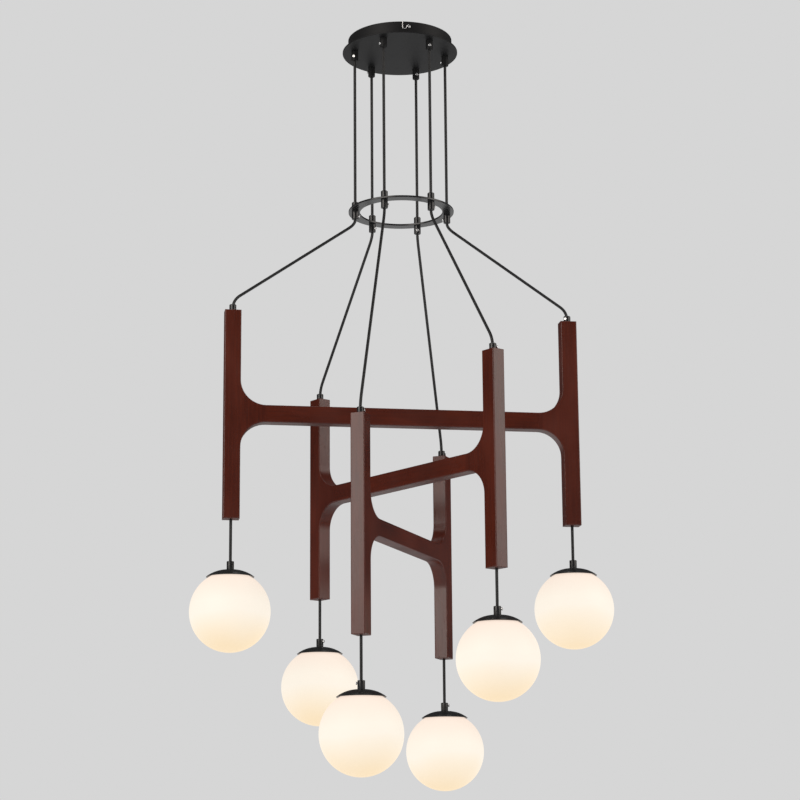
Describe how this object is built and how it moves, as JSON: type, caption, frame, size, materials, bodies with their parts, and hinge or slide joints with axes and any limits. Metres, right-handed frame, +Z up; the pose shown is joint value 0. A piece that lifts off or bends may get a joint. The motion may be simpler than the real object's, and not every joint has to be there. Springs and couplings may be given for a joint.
{
  "type": "orb chandelier",
  "caption": "Hanging chandelier: a round canopy and taut cables carry crossed wooden H frames, with a glowing glass globe lamp under each post.",
  "frame": {"origin": "centre of the canopy's top edge, on the ceiling", "axes": "+Z up out of the canopy towards the ceiling, +X along the upper wooden frame"},
  "size_m": [0.8, 0.6002, 1.4514],
  "materials": {
    "black_metal": "satin black powder coat",
    "black_screw": "blackened screw",
    "bright_steel": "bright plated steel",
    "zinc_steel": "zinc plated",
    "terminal_plastic": "matt moulded plastic",
    "cable_braid": "fine black textile braid",
    "brown_wood": "dark red-brown stain under satin lacquer",
    "holder_ceramic": "fired ceramic with a metal collar",
    "opal_glass": "warm lit opal glass",
    "bulb_glass": "frosted capsule bulb"
  },
  "bodies": {
    "root": {"ceiling_bracket": "zinc_steel", "canopy_drum": "black_metal", "canopy_disc": "black_metal", "canopy_side_screws": "black_screw", "canopy_wire_hook": "bright_steel", "terminal_block": "terminal_plastic", "canopy_glands": "black_metal", "gland_nuts": "zinc_steel", "sleeve_set_screws": "bright_steel", "spreader_ring": "black_metal", "ring_clamp_sleeves": "black_metal", "canopy_cables": "cable_braid"},
    "upper_frame": {"upper_frame": "brown_wood", "upper_post_glands": "black_metal", "upper_gland_screws": "bright_steel", "upper_cables": "cable_braid"},
    "pendant_1": {"drop_cord_1": "cable_braid", "cord_grip_1": "black_metal", "lamp_cap_1": "black_metal", "lamp_holder_1": "holder_ceramic"},
    "globe_1": {"globe_1": "opal_glass"},
    "bulb_1": {"bulb_1": "bulb_glass"},
    "pendant_4": {"drop_cord_4": "cable_braid", "cord_grip_4": "black_metal", "lamp_cap_4": "black_metal", "lamp_holder_4": "holder_ceramic"},
    "globe_4": {"globe_4": "opal_glass"},
    "bulb_4": {"bulb_4": "bulb_glass"},
    "lower_frame": {"lower_frame": "brown_wood", "lower_post_glands": "black_metal", "lower_gland_screws": "bright_steel", "lower_cables": "cable_braid"},
    "pendant_2": {"drop_cord_2": "cable_braid", "cord_grip_2": "black_metal", "lamp_cap_2": "black_metal", "lamp_holder_2": "holder_ceramic"},
    "globe_2": {"globe_2": "opal_glass"},
    "bulb_2": {"bulb_2": "bulb_glass"},
    "pendant_5": {"drop_cord_5": "cable_braid", "cord_grip_5": "black_metal", "lamp_cap_5": "black_metal", "lamp_holder_5": "holder_ceramic"},
    "globe_5": {"globe_5": "opal_glass"},
    "bulb_5": {"bulb_5": "bulb_glass"},
    "middle_frame": {"middle_frame": "brown_wood", "middle_post_glands": "black_metal", "middle_gland_screws": "bright_steel", "middle_cables": "cable_braid"},
    "pendant_3": {"drop_cord_3": "cable_braid", "cord_grip_3": "black_metal", "lamp_cap_3": "black_metal", "lamp_holder_3": "holder_ceramic"},
    "globe_3": {"globe_3": "opal_glass"},
    "bulb_3": {"bulb_3": "bulb_glass"},
    "pendant_6": {"drop_cord_6": "cable_braid", "cord_grip_6": "black_metal", "lamp_cap_6": "black_metal", "lamp_holder_6": "holder_ceramic"},
    "globe_6": {"globe_6": "opal_glass"},
    "bulb_6": {"bulb_6": "bulb_glass"}
  },
  "joints": [
    {"name": "upper_sway", "type": "hinge", "parent": "root", "child": "upper_frame", "pos_m": [0, 0, -0.3723], "axis": [1, 0, 0], "range_deg": [-4, 4]},
    {"name": "pendant_1_swing", "type": "hinge", "parent": "upper_frame", "child": "pendant_1", "pos_m": [0.325, 0, -0.9633], "axis": [0, 1, 0], "range_deg": [-12, 12]},
    {"name": "globe_1_release", "type": "slide", "parent": "pendant_1", "child": "globe_1", "axis": [0, 0, -1], "range_m": [0, 0.08]},
    {"name": "bulb_1_release", "type": "slide", "parent": "pendant_1", "child": "bulb_1", "axis": [0, 0, -1], "range_m": [0, 0.02]},
    {"name": "pendant_4_swing", "type": "hinge", "parent": "upper_frame", "child": "pendant_4", "pos_m": [-0.325, 0, -0.9633], "axis": [0, 1, 0], "range_deg": [-12, 12]},
    {"name": "globe_4_release", "type": "slide", "parent": "pendant_4", "child": "globe_4", "axis": [0, 0, -1], "range_m": [0, 0.08]},
    {"name": "bulb_4_release", "type": "slide", "parent": "pendant_4", "child": "bulb_4", "axis": [0, 0, -1], "range_m": [0, 0.02]},
    {"name": "lower_sway", "type": "hinge", "parent": "root", "child": "lower_frame", "pos_m": [0, 0, -0.3723], "axis": [0.5, 0.866, 0], "range_deg": [-4, 4]},
    {"name": "pendant_2_swing", "type": "hinge", "parent": "lower_frame", "child": "pendant_2", "pos_m": [0.1085, 0.18793, -1.1979], "axis": [-0.866, 0.5, 0], "range_deg": [-12, 12]},
    {"name": "globe_2_release", "type": "slide", "parent": "pendant_2", "child": "globe_2", "axis": [0, 0, -1], "range_m": [0, 0.08]},
    {"name": "bulb_2_release", "type": "slide", "parent": "pendant_2", "child": "bulb_2", "axis": [0, 0, -1], "range_m": [0, 0.02]},
    {"name": "pendant_5_swing", "type": "hinge", "parent": "lower_frame", "child": "pendant_5", "pos_m": [-0.1085, -0.18793, -1.1979], "axis": [-0.866, 0.5, 0], "range_deg": [-12, 12]},
    {"name": "globe_5_release", "type": "slide", "parent": "pendant_5", "child": "globe_5", "axis": [0, 0, -1], "range_m": [0, 0.08]},
    {"name": "bulb_5_release", "type": "slide", "parent": "pendant_5", "child": "bulb_5", "axis": [0, 0, -1], "range_m": [0, 0.02]},
    {"name": "middle_sway", "type": "hinge", "parent": "root", "child": "middle_frame", "pos_m": [0, 0, -0.3723], "axis": [-0.5, 0.866, 0], "range_deg": [-4, 4]},
    {"name": "pendant_3_swing", "type": "hinge", "parent": "middle_frame", "child": "pendant_3", "pos_m": [-0.13, 0.22517, -1.0806], "axis": [-0.866, -0.5, 0], "range_deg": [-12, 12]},
    {"name": "globe_3_release", "type": "slide", "parent": "pendant_3", "child": "globe_3", "axis": [0, 0, -1], "range_m": [0, 0.08]},
    {"name": "bulb_3_release", "type": "slide", "parent": "pendant_3", "child": "bulb_3", "axis": [0, 0, -1], "range_m": [0, 0.02]},
    {"name": "pendant_6_swing", "type": "hinge", "parent": "middle_frame", "child": "pendant_6", "pos_m": [0.13, -0.22517, -1.0806], "axis": [-0.866, -0.5, 0], "range_deg": [-12, 12]},
    {"name": "globe_6_release", "type": "slide", "parent": "pendant_6", "child": "globe_6", "axis": [0, 0, -1], "range_m": [0, 0.08]},
    {"name": "bulb_6_release", "type": "slide", "parent": "pendant_6", "child": "bulb_6", "axis": [0, 0, -1], "range_m": [0, 0.02]}
  ]
}
